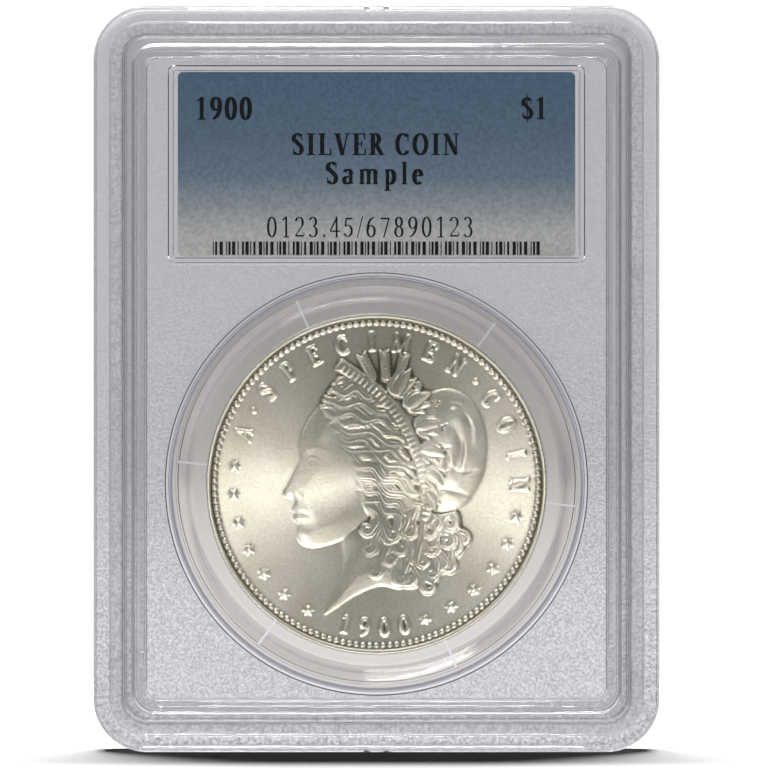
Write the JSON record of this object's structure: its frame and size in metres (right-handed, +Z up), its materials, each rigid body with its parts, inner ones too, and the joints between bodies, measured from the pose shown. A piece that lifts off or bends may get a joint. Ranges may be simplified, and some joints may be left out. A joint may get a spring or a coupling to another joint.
{
  "type": "graded coin slab",
  "caption": "Clear welded collector's slab that stands on edge, with a silver dollar held in a clear finger ring under a printed label.",
  "frame": {"origin": "centre of the bottom edge: mid-width in X, mid-thickness in Y, on the surface that the slab stands on", "axes": "+Z up along the slab's height, +X to the viewer's right, -Y out of the front window"},
  "size_m": [0.0632, 0.008, 0.0833],
  "materials": {
    "clear_plastic": "clear polystyrene, polished windows",
    "weld_bead": "frosted by the weld",
    "ring_plastic": "clear, slightly grey",
    "coin_silver": "struck silver with mint lustre",
    "label_paper": "printed satin card, blue to pale grey",
    "hologram_foil": "embossed foil"
  },
  "bodies": {
    "root": {"front_shell": "clear_plastic", "rear_shell": "clear_plastic", "weld_seam": "weld_bead", "coin_ring": "ring_plastic", "coin": "coin_silver", "label_card": "label_paper", "hologram_seal": "hologram_foil"}
  },
  "joints": []
}
